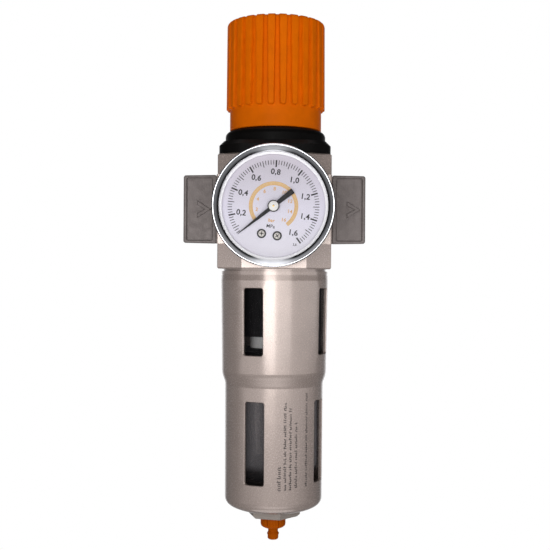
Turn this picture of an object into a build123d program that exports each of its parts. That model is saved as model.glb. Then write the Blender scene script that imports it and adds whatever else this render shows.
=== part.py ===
"""Air filter-regulator with gauge, port plates, slotted bowl guard and manual drain.

Frame, in millimetres: +X runs along the flow, from the inlet to the outlet, +Y points to the
back and +Z up the knob's axis. The origin is where the port axis crosses the knob's axis.
"""
from build123d import *
import math
import os

os.makedirs("parts", exist_ok=True)

# ---- fits
RUNNING = 0.05              # radial clearance of a shaft that turns or slides in its bore

# ---- housing
BODY = 55.0                 # side of the square housing
HALF = BODY / 2
HOUSING_TOP = 27.1
HOUSING_BASE = -28.4
PORT_BLOCK = 33.0           # height of the full square section that the plates bolt to
FRONT_FLAT = 31.0           # width of the front flat above and below that section
FACET_Y = 21.0              # where the slanted corner facets meet the sides
HOUSING_ROUND = 0.8         # rounding of the upright edges
HOUSING_RIM = 0.6           # bevel round the top and the bottom
PASSAGE_R = 7.5             # air passage in the housing and the plates
CAVITY_R = 20.5             # outlet chamber under the diaphragm
CAVITY_FLOOR = 14.0
WEB_BASE = 9.0              # underside of the wall that carries the valve seat
CHAMBER_R = 11.5            # valve chamber
BOSS_R = 14.5               # boss around the valve chamber, inside the bowl's neck
BOSS_BASE = -24.0
GUARD_SOCKET_R = 25.95
GUARD_SOCKET_TOP = -22.0
BOWL_SOCKET_R = 23.2
BOWL_SOCKET_TOP = -11.0

# ---- threads, by their nominal radius
G12_R = 20.955 / 2          # pipe ports
G14_R = 13.157 / 2          # gauge ports
M5_R = 2.5
M4_R = 2.0

# ---- connecting plates
PLATE_W = 16.0              # along the flow
PLATE_DEPTH = 50.0
PLATE_H = 33.0
PLATE_DRAFT = 0.3           # how much lower the outer end is, top and bottom
PLATE_BACK_DRAFT = 1.6      # how much lower the back is, top and bottom
PLATE_ROUND = 1.2           # rounding of the long edges
PLATE_END_ROUND = 0.6       # rounding of the outer end
PANEL_DEPTH = 0.8           # shallow panel in the front face
PANEL_SLOPE = 0.45
PANEL_INSET = (2.35, 1.75)  # from the plate's inner and outer end
PANEL_MARGIN = 1.75         # above and below
PANEL_CORNER_R = 0.6
ARROW_TAIL = (-36.9, 34.7)  # x of the flow arrow's tail on the inlet and on the outlet plate
ARROW_LENGTH = 6.5
ARROW_HALF = 4.1            # half its height at the tail
ARROW_NOTCH = (3.5, 1.9)    # depth and half height of the notch in its tail
ARROW_RISE = 0.7            # above the panel's floor
ARROW_BEVEL = 0.25
PORT_DEPTH = 13.0
PLATE_SCREW_Y = 18.5
SCREW_POCKET = (5.5, 4.75)  # depth and radius of the screws' counterbores
OUTER_X = HALF + PLATE_W
RING_GROOVE = 2.0           # depth of the face seal's groove
RING_R = 11.0               # mean radius of the face seal
RING_HALF = 1.1             # half the groove's width

# ---- bonnet, panel nut and knob
FLANGE = 54.4
FLANGE_CORNER_R = 13.0
FLANGE_TOP = 33.5
FLANGE_BEVEL = 2.1
NUT_TOP = 40.0
NUT_R = 25.0
NUT_ROUND = 2.8
NECK_R = 22.0               # bonnet under the panel nut
TUBE_R = 19.5               # bonnet inside the knob
BONNET_TOP = 76.0
BONNET_ROOF = 4.0
SPRING_BORE_R = 16.0
BONNET_SCREW_XY = 20.0
KNOB_BASE = 40.5
RIB_BASE = 50.5
KNOB_TOP = 95.3
SKIRT_R = 22.85
RIB_R = 24.65
RIBS = 26
RIB_W = 3.2
FIRST_RIB_ANGLE = -94.6
KNOB_BORE_R = 20.0
WEB_Z = 78.5                # knob's inner web, which holds the hexagon
WEB_T = 4.3
HEX_AF = 11.0
WELL_R = 9.0

# ---- spindle train
THREAD_R = 5.0
NECK_SHAFT_R = 6.0
SPRING_PLATE_Z = 60.0
SPRING_PLATE_T = 6.0
DISC_TOP = 31.5
DIAPHRAGM_T = 1.2

# ---- valve
SEAT_Z = 8.0
STEM_R = 1.5
GUIDE_STEM_R = 3.0

# ---- gauge, facing the front
GAUGE_R = 27.8
GAUGE_FRONT = -56.0
CASE_R = 26.0
CASE_BACK = -30.5
WINDOW_FRONT = -53.6
WINDOW_T = 1.7
DIAL_FRONT = -49.6
DIAL_T = 0.5
DIAL_TILT = 8.0             # the dial sits turned clockwise by this angle
POINTER_REST = 51.7         # degrees clockwise from straight down
POINTER_Y = -50.8
DIAL_SCREW_R = 13.6
DIAL_SCREW_HALF_ANGLE = 15.3
PIVOT_DROP = 11.0           # from the pointer's axis to the sector's pivot
PINION_R = 1.45
SECTOR_R = 9.2

# ---- guard and bowl
GUARD_TOP = -29.5
GUARD_NECK_R = 25.65
GUARD_R = 26.75
GUARD_WALL = 1.5
GUARD_TAPER_END = -79.0
GUARD_CONE_END = -86.0
GUARD_LOW_R = 24.5
GUARD_DOME_Z = -142.0
GUARD_BASE = -147.8
GUARD_HOLE_R = 8.4
SLOT_W = 10.1
SLOT_CORNER_R = 1.2
SLOT_ROUND = 0.35           # rounding of the slots' mouths
SLOT_RIM_R = 23.9           # their edges lie outside this radius
SLOT_FIRST_ANGLE = -112.5   # direction of the first slot about +Z
UPPER_SLOT = (-70.2, -37.7)
LOWER_SLOT = (-132.9, -92.7)
BOWL_R = 23.5
BOWL_LOW_R = 21.9
BOWL_WALL = 2.2
BOWL_TOP = -13.0
BOWL_FLOOR = -134.0
BOWL_BOSS_R = 8.0
BOWL_BOSS_BASE = -148.1

# ---- filter
SKIRT_BASE = -61.7
FILTER_SKIRT_R = 16.5
FILTER_R = 12.0
FILTER_BASE = -67.6

# ---- drain
DRAIN_NUT_AF = 24.0
DRAIN_NUT_BASE = -152.0
DRAIN_NUT_TURN = -14.0
DRAIN_NUT_BEVEL = 1.3
DRAIN_KNOB_R = 6.3
DRAIN_RIBS = 10
DRAIN_END = -164.1
DRAIN_HOLE_R = 1.25
DRAIN_STEM_R = 1.0


def turn(*outline, mode=Mode.ADD):
    """Turns a half outline of (radius, height) points about the vertical axis."""
    with BuildSketch(Plane.XZ) as half:
        with BuildLine():
            Polyline(*outline, close=True)
        make_face()
    revolve(half.sketch, axis=Axis.Z, mode=mode)


def turn_y(*outline, mode=Mode.ADD):
    """Turns a half outline of (radius, y) points about the gauge's axis, which is Y."""
    with BuildSketch(Plane.XY) as half:
        with BuildLine():
            Polyline(*outline, close=True)
        make_face()
    revolve(half.sketch, axis=Axis.Y, mode=mode)


def rod(radius, low, high, at=(0, 0), mode=Mode.ADD):
    """An upright cylinder from one height to another."""
    with Locations((at[0], at[1], low)):
        Cylinder(radius, high - low, align=(Align.CENTER, Align.CENTER, Align.MIN), mode=mode)


def rod_x(radius, low, high, at=(0, 0), mode=Mode.ADD):
    """A cylinder along X, between two x values, at the given (y, z)."""
    with Locations(Plane.YZ.offset(low)):
        with Locations(at):
            Cylinder(radius, high - low, align=(Align.CENTER, Align.CENTER, Align.MIN), mode=mode)


def rod_y(radius, low, high, at=(0, 0), mode=Mode.ADD):
    """A cylinder along Y, between two y values, at the given (x, z)."""
    with Locations(Plane.XZ.offset(-high)):
        with Locations(at):
            Cylinder(radius, high - low, align=(Align.CENTER, Align.CENTER, Align.MIN), mode=mode)


def hex_prism(flats, low, high, mode=Mode.ADD, angle=0.0):
    """An upright hexagonal prism, given its size across flats."""
    with BuildSketch(Plane.XY.offset(low)) as section:
        RegularPolygon(flats / 2, 6, major_radius=False, rotation=angle)
    extrude(section.sketch, amount=high - low, mode=mode)


def clock(angle, radius):
    """The (x, z) place on the dial at an angle clockwise from straight down, seen from the front."""
    return (-radius * math.sin(math.radians(angle)), -radius * math.cos(math.radians(angle)))


def save(piece, name):
    """Labels a finished piece and writes its STEP file."""
    piece.part.label = name
    export_step(piece.part, f"parts/{name}.step")


# ======================================================================== housing and plates
with BuildPart() as housing:
    with BuildSketch(Plane.XY.offset(HOUSING_BASE)):
        with BuildLine():
            Polyline(
                (FRONT_FLAT / 2, -HALF), (HALF, -FACET_Y), (HALF, FACET_Y), (FRONT_FLAT / 2, HALF),
                (-FRONT_FLAT / 2, HALF), (-HALF, FACET_Y), (-HALF, -FACET_Y), (-FRONT_FLAT / 2, -HALF),
                close=True,
            )
        make_face()
    extrude(amount=HOUSING_TOP - HOUSING_BASE)
    with BuildSketch(Plane.XY.offset(-PORT_BLOCK / 2)):
        Rectangle(BODY, BODY)
    extrude(amount=PORT_BLOCK)
    fillet(housing.edges().filter_by(Axis.Z), radius=HOUSING_ROUND)
    rim = housing.faces().sort_by(Axis.Z)
    chamfer([rim[0].outer_wire().edges(), rim[-1].outer_wire().edges()], length=HOUSING_RIM)
    # outlet chamber, valve chamber and the hole for the valve seat
    rod(CAVITY_R, CAVITY_FLOOR, HOUSING_TOP, mode=Mode.SUBTRACT)
    rod(CHAMBER_R, BOSS_BASE - 5, WEB_BASE, mode=Mode.SUBTRACT)
    rod(8.0, WEB_BASE, CAVITY_FLOOR, mode=Mode.SUBTRACT)
    # sockets for the guard's neck and the bowl's neck, around the valve chamber's boss
    turn(
        (BOSS_R, BOWL_SOCKET_TOP), (BOWL_SOCKET_R, BOWL_SOCKET_TOP), (BOWL_SOCKET_R, GUARD_SOCKET_TOP),
        (GUARD_SOCKET_R, GUARD_SOCKET_TOP), (GUARD_SOCKET_R, HOUSING_BASE - 1), (0, HOUSING_BASE - 1),
        (0, BOSS_BASE), (BOSS_R, BOSS_BASE),
        mode=Mode.SUBTRACT,
    )
    # inlet passage down to the bowl, outlet passage up to the chamber
    for side in (-1, 1):
        rod_x(PASSAGE_R, min(side * 15.5, side * HALF), max(side * 15.5, side * HALF), mode=Mode.SUBTRACT)
        for y in (-PLATE_SCREW_Y, PLATE_SCREW_Y):
            rod_x(M5_R, min(side * 17.5, side * HALF), max(side * 17.5, side * HALF), (y, 0), Mode.SUBTRACT)
    rod(3.2, BOWL_SOCKET_TOP, 0, (-18.2, 0), Mode.SUBTRACT)
    rod(2.8, 0, CAVITY_FLOOR, (17.4, 0), Mode.SUBTRACT)
    # gauge ports, front and back, each with a passage up to the outlet chamber
    for side in (-1, 1):
        rod_y(G14_R, min(side * 16, side * HALF), max(side * 16, side * HALF), mode=Mode.SUBTRACT)
        rod(1.5, 0, CAVITY_FLOOR, (0, side * 17.8), Mode.SUBTRACT)
    for x in (-BONNET_SCREW_XY, BONNET_SCREW_XY):
        for y in (-BONNET_SCREW_XY, BONNET_SCREW_XY):
            rod(M4_R, HOUSING_TOP - 12, HOUSING_TOP, (x, y), Mode.SUBTRACT)
save(housing, "housing")


def connecting_plate(side):
    """The shape of one connecting plate: side is -1 for the inlet and 1 for the outlet."""
    inner, outer = side * HALF, side * OUTER_X
    with BuildPart() as plate:
        for y, lower in ((-PLATE_DEPTH / 2, 0.0), (PLATE_DEPTH / 2, PLATE_BACK_DRAFT)):
            high = PLATE_H / 2 - lower
            with BuildSketch(Plane.XZ.offset(-y)):
                with BuildLine():
                    Polyline(
                        (inner, high), (outer, high - PLATE_DRAFT), (outer, -high + PLATE_DRAFT),
                        (inner, -high),
                        close=True,
                    )
                make_face()
        loft()
        fillet(plate.edges().filter_by(lambda edge: edge.length > PLATE_DEPTH - 1), radius=PLATE_ROUND)
        outer_rim = plate.faces().sort_by(Axis.X)[-1 if side > 0 else 0].edges()
        fillet(outer_rim, radius=PLATE_END_ROUND)
        # shallow panel on the front face, with a raised flow arrow in it
        panel_ends = (inner + side * PANEL_INSET[0], outer - side * PANEL_INSET[1])
        panel_y = -PLATE_DEPTH / 2 + PANEL_DEPTH
        with BuildSketch(Plane.XZ.offset(-panel_y)) as panel:
            with Locations((sum(panel_ends) / 2, 0)):
                RectangleRounded(PLATE_W - sum(PANEL_INSET), PLATE_H - 2 * PANEL_MARGIN, PANEL_CORNER_R)
        extrude(panel.sketch, amount=PANEL_DEPTH, mode=Mode.SUBTRACT)
        front = plate.faces().sort_by(Axis.Y)[0]
        chamfer(front.inner_wires()[0].edges(), length=PANEL_SLOPE)
        tail = ARROW_TAIL[0 if side < 0 else 1]
        notch = (tail + ARROW_NOTCH[0], 0)
        with BuildSketch(Plane.XZ.offset(-panel_y)) as arrow:
            with BuildLine():
                Polyline(
                    (tail, ARROW_HALF), (tail + ARROW_LENGTH, 0), (tail, -ARROW_HALF),
                    (tail, -ARROW_NOTCH[1]), notch, (tail, ARROW_NOTCH[1]),
                    close=True,
                )
            make_face()
        extrude(arrow.sketch, amount=ARROW_RISE)
        arrow_top = [f for f in plate.faces() if abs(f.center().Y - panel_y + ARROW_RISE) < 0.01]
        chamfer(arrow_top[0].edges(), length=ARROW_BEVEL)
        # pipe thread, air passage, groove for the face seal, and the screws' counterbores
        rod_x(PASSAGE_R, min(inner, outer), max(inner, outer), mode=Mode.SUBTRACT)
        bottom = outer - side * PORT_DEPTH
        rod_x(G12_R, min(bottom, outer), max(bottom, outer), mode=Mode.SUBTRACT)
        groove = inner + side * RING_GROOVE
        for y in (-PLATE_SCREW_Y, PLATE_SCREW_Y):
            rod_x(M5_R + 0.1, min(inner, outer), max(inner, outer), (y, 0), Mode.SUBTRACT)
            seat = outer - side * SCREW_POCKET[0]
            rod_x(SCREW_POCKET[1], min(seat, outer), max(seat, outer), (y, 0), Mode.SUBTRACT)
        with BuildSketch(Plane.YZ.offset(min(inner, groove))) as ring:
            Circle(RING_R + RING_HALF)
            Circle(RING_R - RING_HALF, mode=Mode.SUBTRACT)
        extrude(ring.sketch, amount=RING_GROOVE, mode=Mode.SUBTRACT)
    return plate


inlet_plate = connecting_plate(-1)
save(inlet_plate, "inlet_plate")
outlet_plate = connecting_plate(1)
save(outlet_plate, "outlet_plate")

with BuildPart() as plate_o_rings:
    for side in (-1, 1):
        with Locations(Location((side * (HALF + RING_GROOVE / 2), 0, 0), (0, 90, 0))):
            Torus(RING_R, RING_GROOVE / 2)
save(plate_o_rings, "plate_o_rings")

with BuildPart() as plate_screws:
    for side in (-1, 1):
        head = OUTER_X - SCREW_POCKET[0]
        for y in (-PLATE_SCREW_Y, PLATE_SCREW_Y):
            tip, seat, top = side * 18.0, side * head, side * (head + 5.0)
            rod_x(M5_R, min(tip, seat), max(tip, seat), (y, 0))
            rod_x(4.25, min(seat, top), max(seat, top), (y, 0))
            with BuildSketch(Plane.YZ.offset(top)) as socket:
                with Locations((y, 0)):
                    RegularPolygon(2.0, 6, major_radius=False)
            extrude(socket.sketch, amount=-side * 2.6, mode=Mode.SUBTRACT)
save(plate_screws, "plate_screws")

# ======================================================================== bonnet, nut, screws
with BuildPart() as bonnet:
    with BuildSketch(Plane.XY.offset(HOUSING_TOP)) as flange:
        RectangleRounded(FLANGE, FLANGE, FLANGE_CORNER_R)
    extrude(flange.sketch, amount=FLANGE_TOP - HOUSING_TOP)
    chamfer(bonnet.faces().sort_by(Axis.Z)[-1].outer_wire().edges(), length=FLANGE_BEVEL)
    rod(NECK_R, FLANGE_TOP, NUT_TOP + 0.2)
    rod(TUBE_R, NUT_TOP + 0.2, BONNET_TOP)
    chamfer(bonnet.faces().sort_by(Axis.Z)[-1].edges(), length=1.0)
    # diaphragm recess, spring bore with two keyways, and the spindle's hole
    rod(23.0, HOUSING_TOP, HOUSING_TOP + DIAPHRAGM_T, mode=Mode.SUBTRACT)
    rod(SPRING_BORE_R, HOUSING_TOP, BONNET_TOP - BONNET_ROOF, mode=Mode.SUBTRACT)
    with BuildSketch(Plane.XY.offset(HOUSING_TOP + DIAPHRAGM_T)) as keyways:
        Rectangle(2 * 17.9, 4.8)
    keyway_length = BONNET_TOP - BONNET_ROOF - HOUSING_TOP - DIAPHRAGM_T
    extrude(keyways.sketch, amount=keyway_length, mode=Mode.SUBTRACT)
    rod(NECK_SHAFT_R + RUNNING, BONNET_TOP - BONNET_ROOF, BONNET_TOP, mode=Mode.SUBTRACT)
    for x in (-BONNET_SCREW_XY, BONNET_SCREW_XY):
        for y in (-BONNET_SCREW_XY, BONNET_SCREW_XY):
            rod(M4_R + 0.1, HOUSING_TOP, FLANGE_TOP, (x, y), Mode.SUBTRACT)
            rod(3.2, FLANGE_TOP - 3.6, FLANGE_TOP, (x, y), Mode.SUBTRACT)
save(bonnet, "bonnet")

with BuildPart() as bonnet_screws:
    for x in (-BONNET_SCREW_XY, BONNET_SCREW_XY):
        for y in (-BONNET_SCREW_XY, BONNET_SCREW_XY):
            rod(M4_R, HOUSING_TOP - 11, FLANGE_TOP - 3.6, (x, y))
            rod(3.0, FLANGE_TOP - 3.6, FLANGE_TOP - 0.6, (x, y))
            with BuildSketch(Plane.XY.offset(FLANGE_TOP - 0.6)) as socket:
                with Locations((x, y)):
                    RegularPolygon(1.25, 6, major_radius=False)
            extrude(socket.sketch, amount=-1.6, mode=Mode.SUBTRACT)
save(bonnet_screws, "bonnet_screws")

with BuildPart() as panel_nut:
    turn((NECK_R, FLANGE_TOP), (NUT_R, FLANGE_TOP), (NUT_R, NUT_TOP), (NECK_R, NUT_TOP))
    fillet(panel_nut.faces().sort_by(Axis.Z)[-1].outer_wire().edges(), radius=NUT_ROUND)
save(panel_nut, "panel_nut")

# ======================================================================== spindle and knob
with BuildPart() as spindle:
    rod(THREAD_R, 36.0, 68.0)
    rod(8.5, 68.0, 71.0)
    rod(NECK_SHAFT_R, 71.0, 77.2)
    hex_prism(HEX_AF, 77.2, 86.0)
    rod(M4_R, 76.0, 86.0, mode=Mode.SUBTRACT)
    turn((5.2, 76.1), (7.0, 76.1), (7.0, 77.1), (5.2, 77.1), mode=Mode.SUBTRACT)
    chamfer(spindle.faces().sort_by(Axis.Z)[0].edges(), length=1.0)
save(spindle, "spindle")

with BuildPart() as spindle_washer:
    turn((NECK_SHAFT_R, 71.0), (8.5, 71.0), (8.5, 71.9), (NECK_SHAFT_R, 71.9))
save(spindle_washer, "spindle_washer")

with BuildPart() as spindle_clip:
    turn((5.2, 76.1), (8.5, 76.1), (8.5, 77.1), (5.2, 77.1))
    with Locations((5.0, 0, 76.6)):
        Box(10.0, 6.0, 2.0, mode=Mode.SUBTRACT)
save(spindle_clip, "spindle_clip")

with BuildPart() as knob_screw:
    rod(M4_R, 77.0, 86.0)
    rod(7.4, 86.0, 87.0)
    rod(3.8, 87.0, 89.6)
    with BuildSketch(Plane.XY.offset(89.6)) as socket:
        RegularPolygon(1.5, 6, major_radius=False)
    extrude(socket.sketch, amount=-2.0, mode=Mode.SUBTRACT)
save(knob_screw, "knob_screw")

with BuildPart() as spring_plate:
    rod(15.2, SPRING_PLATE_Z, SPRING_PLATE_Z + SPRING_PLATE_T)
    with BuildSketch(Plane.XY.offset(SPRING_PLATE_Z)) as keys:
        Rectangle(2 * 17.6, 4.2)
    extrude(keys.sketch, amount=SPRING_PLATE_T)
    rod(THREAD_R + RUNNING, SPRING_PLATE_Z - 1, SPRING_PLATE_Z + SPRING_PLATE_T, mode=Mode.SUBTRACT)
save(spring_plate, "spring_plate")

SPRING_WIRE_R = 1.6
with BuildPart() as pressure_spring:
    with BuildLine(Plane.XY.offset(DISC_TOP + SPRING_WIRE_R)) as coil:
        Helix(pitch=5.06, height=SPRING_PLATE_Z - DISC_TOP - 2 * SPRING_WIRE_R, radius=11.5)
    with BuildSketch(Plane(origin=coil.line @ 0, z_dir=coil.line % 0)) as wire:
        Circle(SPRING_WIRE_R)
    sweep(wire.sketch, path=coil.line, is_frenet=True)
save(pressure_spring, "pressure_spring")

with BuildPart() as knob:
    rod(SKIRT_R, KNOB_BASE, RIB_BASE)
    rod(RIB_R, RIB_BASE, KNOB_TOP)
    fillet(knob.faces().sort_by(Axis.Z)[-1].edges(), radius=2.0)
    with BuildSketch(Plane.XY.offset(RIB_BASE)) as grooves:
        Circle(RIB_R + 1.0)
        Circle(SKIRT_R, mode=Mode.SUBTRACT)
        with PolarLocations(RIB_R, RIBS, start_angle=FIRST_RIB_ANGLE):
            Rectangle(4.0, RIB_W, mode=Mode.SUBTRACT)
    extrude(grooves.sketch, amount=KNOB_TOP - RIB_BASE, mode=Mode.SUBTRACT)
    rod(KNOB_BORE_R, KNOB_BASE, WEB_Z, mode=Mode.SUBTRACT)
    turn((12.0, WEB_Z), (KNOB_BORE_R, WEB_Z), (KNOB_BORE_R, 91.5), (12.0, 91.5), mode=Mode.SUBTRACT)
    hex_prism(HEX_AF + 0.1, WEB_Z, WEB_Z + WEB_T, mode=Mode.SUBTRACT)
    rod(WELL_R, WEB_Z + WEB_T, KNOB_TOP, mode=Mode.SUBTRACT)
    rod(WELL_R + 1.5, KNOB_TOP - 2.0, KNOB_TOP, mode=Mode.SUBTRACT)
save(knob, "knob")

with BuildPart() as knob_cap:
    rod(WELL_R + 1.5, KNOB_TOP - 2.0, KNOB_TOP - 0.3)
    chamfer(knob_cap.faces().sort_by(Axis.Z)[-1].edges(), length=0.4)
save(knob_cap, "knob_cap")

# ======================================================================== diaphragm and valve
with BuildPart() as diaphragm:
    turn((4.3, HOUSING_TOP), (23.0, HOUSING_TOP), (23.0, HOUSING_TOP + DIAPHRAGM_T),
         (4.3, HOUSING_TOP + DIAPHRAGM_T))
save(diaphragm, "diaphragm")

with BuildPart() as diaphragm_disc:
    turn((4.0, 28.5), (14.6, 28.5), (14.6, DISC_TOP), (8.6, DISC_TOP), (7.8, 34.0), (4.0, 34.0))
save(diaphragm_disc, "diaphragm_disc")

with BuildPart() as relief_seat:
    turn((1.2, 24.5), (10.0, 24.5), (10.0, 26.9), (4.0, 26.9), (4.0, 33.0), (1.2, 33.0))
save(relief_seat, "relief_seat")

with BuildPart() as valve_seat:
    turn((5.5, SEAT_Z), (6.6, SEAT_Z), (7.2, WEB_BASE), (8.0, WEB_BASE), (8.0, CAVITY_FLOOR),
         (5.5, CAVITY_FLOOR))
save(valve_seat, "valve_seat")

with BuildPart() as valve_poppet:
    turn((0, -16.0), (2.4, -16.0), (GUIDE_STEM_R, -15.4), (GUIDE_STEM_R, 4.5), (8.0, 4.5), (8.0, 6.4),
         (STEM_R, 6.4), (STEM_R, 24.4), (0, 24.4))
save(valve_poppet, "valve_poppet")

with BuildPart() as valve_seal:
    turn((STEM_R, 6.4), (7.6, 6.4), (7.6, SEAT_Z - 0.1), (STEM_R, SEAT_Z - 0.1))
save(valve_seal, "valve_seal")

with BuildPart() as valve_guide:
    turn(
        (GUIDE_STEM_R + RUNNING, -18.0), (GUIDE_STEM_R + RUNNING, -2.5), (4.6, -2.5), (4.6, -9.0),
        (CHAMBER_R, -9.0), (CHAMBER_R, -14.4), (CHAMBER_R - 1.4, -14.4), (CHAMBER_R - 1.4, -16.6),
        (CHAMBER_R, -16.6), (CHAMBER_R, BOSS_BASE), (BOSS_R, BOSS_BASE), (BOSS_R, BOSS_BASE - 2),
        (2.5, BOSS_BASE - 2), (2.5, -20.5), (0, -20.5), (0, -18.0),
    )
    with BuildSketch(Plane.XY.offset(BOSS_BASE - 2)) as flow_holes:
        with PolarLocations(7.4, 6):
            Circle(2.1)
    extrude(flow_holes.sketch, amount=20.0, mode=Mode.SUBTRACT)
save(valve_guide, "valve_guide")

with BuildPart() as valve_guide_ring:
    with Locations((0, 0, -15.5)):
        Torus(CHAMBER_R - 0.7, 0.7)
save(valve_guide_ring, "valve_guide_ring")

VALVE_WIRE_R = 0.45
with BuildPart() as valve_spring:
    with BuildLine(Plane.XY.offset(-9.0 + VALVE_WIRE_R)) as coil:
        Helix(pitch=2.52, height=13.5 - 2 * VALVE_WIRE_R, radius=5.4)
    with BuildSketch(Plane(origin=coil.line @ 0, z_dir=coil.line % 0)) as wire:
        Circle(VALVE_WIRE_R)
    sweep(wire.sketch, path=coil.line, is_frenet=True)
save(valve_spring, "valve_spring")

# ======================================================================== filter
with BuildPart() as filter_skirt:
    turn((10.0, -28.0), (15.0, -28.0), (15.0, SKIRT_BASE), (FILTER_SKIRT_R, SKIRT_BASE),
         (FILTER_SKIRT_R, -26.0), (10.0, -26.0))
save(filter_skirt, "filter_skirt")

with BuildPart() as filter_element:
    turn((8.0, FILTER_BASE), (FILTER_R, FILTER_BASE), (FILTER_R, -28.0), (8.0, -28.0))
save(filter_element, "filter_element")

with BuildPart() as filter_baffle:
    turn((2.5, FILTER_BASE), (13.5, FILTER_BASE), (16.0, -69.5), (16.0, -70.9), (12.5, -70.9),
         (6.0, -73.0), (2.5, -73.0))
save(filter_baffle, "filter_baffle")

with BuildPart() as filter_bolt:
    rod(2.5, -73.0, -20.5)
    hex_prism(8.0, -76.0, -73.0)
save(filter_bolt, "filter_bolt")

# ======================================================================== bowl, guard, drain
with BuildPart() as bowl:
    inner_r, inner_low_r = BOWL_R - BOWL_WALL, BOWL_LOW_R - BOWL_WALL
    with BuildSketch(Plane.XZ) as section:
        with BuildLine():
            Polyline(
                (BOWL_BOSS_R, BOWL_BOSS_BASE), (3.0, BOWL_BOSS_BASE), (3.0, BOWL_FLOOR),
                (BOWL_BOSS_R, BOWL_FLOOR),
            )
            EllipticalCenterArc((BOWL_BOSS_R, -124.0), inner_low_r - BOWL_BOSS_R, 10.0,
                                start_angle=270, arc_size=90)
            Polyline(
                (inner_low_r, -124.0), (inner_low_r, GUARD_CONE_END), (inner_r, GUARD_TAPER_END),
                (inner_r, -31.0), (19.6, -28.0), (19.6, BOWL_TOP), (22.95, BOWL_TOP), (22.95, -15.8),
                (21.0, -15.8), (21.0, -18.2), (22.95, -18.2), (22.95, -26.0), (BOWL_R, -26.6),
                (BOWL_R, GUARD_TAPER_END), (BOWL_LOW_R, GUARD_CONE_END), (BOWL_LOW_R, -124.0),
            )
            EllipticalCenterArc((BOWL_BOSS_R, -124.0), BOWL_LOW_R - BOWL_BOSS_R, 13.0,
                                start_angle=270, arc_size=90)
            Line((BOWL_BOSS_R, -137.0), (BOWL_BOSS_R, BOWL_BOSS_BASE))
        make_face()
    revolve(section.sketch, axis=Axis.Z)
save(bowl, "bowl")

with BuildPart() as bowl_o_ring:
    with Locations((0, 0, -17.0)):
        Torus(22.05, 1.05)
save(bowl_o_ring, "bowl_o_ring")

with BuildPart() as guard:
    wall = GUARD_WALL
    low_in = GUARD_LOW_R - wall
    with BuildSketch(Plane.XZ) as section:
        with BuildLine():
            Polyline(
                (GUARD_NECK_R, -22.4), (GUARD_NECK_R, GUARD_TOP), (26.55, GUARD_TOP), (26.55, -31.1),
                (26.35, -31.1), (26.35, -31.4), (26.6, -31.4), (GUARD_R, -34.0), (26.1, GUARD_TAPER_END),
            )
            Spline((26.1, GUARD_TAPER_END), (25.35, -82.6), (GUARD_LOW_R, GUARD_CONE_END),
                   tangents=[(-0.02, -1), (-0.01, -1)])
            Line((GUARD_LOW_R, GUARD_CONE_END), (24.3, GUARD_DOME_Z))
            Spline((24.3, GUARD_DOME_Z), (21.7, -146.2), (14.0, GUARD_BASE),
                   tangents=[(-0.01, -1), (-1, -0.02)])
            Polyline(
                (14.0, GUARD_BASE), (GUARD_HOLE_R, GUARD_BASE), (GUARD_HOLE_R, GUARD_BASE + wall),
                (14.0, GUARD_BASE + wall),
            )
            Spline((14.0, GUARD_BASE + wall), (20.5, -144.8), (22.8, GUARD_DOME_Z),
                   tangents=[(1, 0.02), (0.01, 1)])
            Polyline(
                (22.8, GUARD_DOME_Z), (low_in, GUARD_CONE_END), (24.6, GUARD_TAPER_END),
                (25.1, -34.0), (24.05, -31.0), (24.05, -22.4), (GUARD_NECK_R, -22.4),
            )
        make_face()
    revolve(section.sketch, axis=Axis.Z)
    for index in range(4):
        heading = math.radians(SLOT_FIRST_ANGLE + 90 * index)
        outward = Vector(math.cos(heading), math.sin(heading), 0)
        for low, high in (UPPER_SLOT, LOWER_SLOT):
            across = Plane(origin=(0, 0, 0), x_dir=outward.cross(Vector(0, 0, -1)), z_dir=outward)
            with BuildSketch(across) as slot:
                with Locations((0, (low + high) / 2)):
                    RectangleRounded(SLOT_W, high - low, SLOT_CORNER_R)
            extrude(slot.sketch, amount=30.0, mode=Mode.SUBTRACT)

    def on_slot_rim(edge):
        """Whether an edge runs round a slot's mouth on the outer face."""
        middle = edge.center()
        in_slot = any(low - 1 < middle.Z < high + 1 for low, high in (UPPER_SLOT, LOWER_SLOT))
        return in_slot and math.hypot(middle.X, middle.Y) > SLOT_RIM_R and edge.length < 60

    fillet(guard.edges().filter_by(on_slot_rim), radius=SLOT_ROUND)
save(guard, "guard")

with BuildPart() as drain_nut:
    hex_prism(DRAIN_NUT_AF, DRAIN_NUT_BASE, BOWL_BOSS_BASE, angle=DRAIN_NUT_TURN)
    chamfer(drain_nut.faces().sort_by(Axis.Z)[0].edges(), length=DRAIN_NUT_BEVEL)
    rod(5.3, DRAIN_NUT_BASE, BOWL_BOSS_BASE, mode=Mode.SUBTRACT)
save(drain_nut, "drain_nut")

with BuildPart() as drain_knob:
    rod(5.2, -152.4, -149.5)
    turn((0, -152.4), (DRAIN_KNOB_R, -152.4), (DRAIN_KNOB_R, -155.7), (5.9, -156.7), (4.6, -157.7),
         (2.5, -158.4), (2.45, -160.1), (3.0, -161.2), (2.7, -162.2), (2.7, -163.4), (2.1, DRAIN_END),
         (0, DRAIN_END))
    with BuildSketch(Plane.XY.offset(-152.4)) as grip:
        with PolarLocations(DRAIN_KNOB_R + 0.3, DRAIN_RIBS, start_angle=90):
            Circle(0.7)
    extrude(grip.sketch, amount=-5.0, mode=Mode.SUBTRACT)
    rod(DRAIN_HOLE_R, DRAIN_END, -156.5, mode=Mode.SUBTRACT)
    rod(DRAIN_STEM_R + 0.08, -156.5, -149.5, mode=Mode.SUBTRACT)
save(drain_knob, "drain_knob")

with BuildPart() as drain_stem:
    turn((0, -156.0), (1.0, -156.0), (1.0, -133.1), (4.6, -133.1), (4.6, -131.8), (0, -131.8))
save(drain_stem, "drain_stem")

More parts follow.
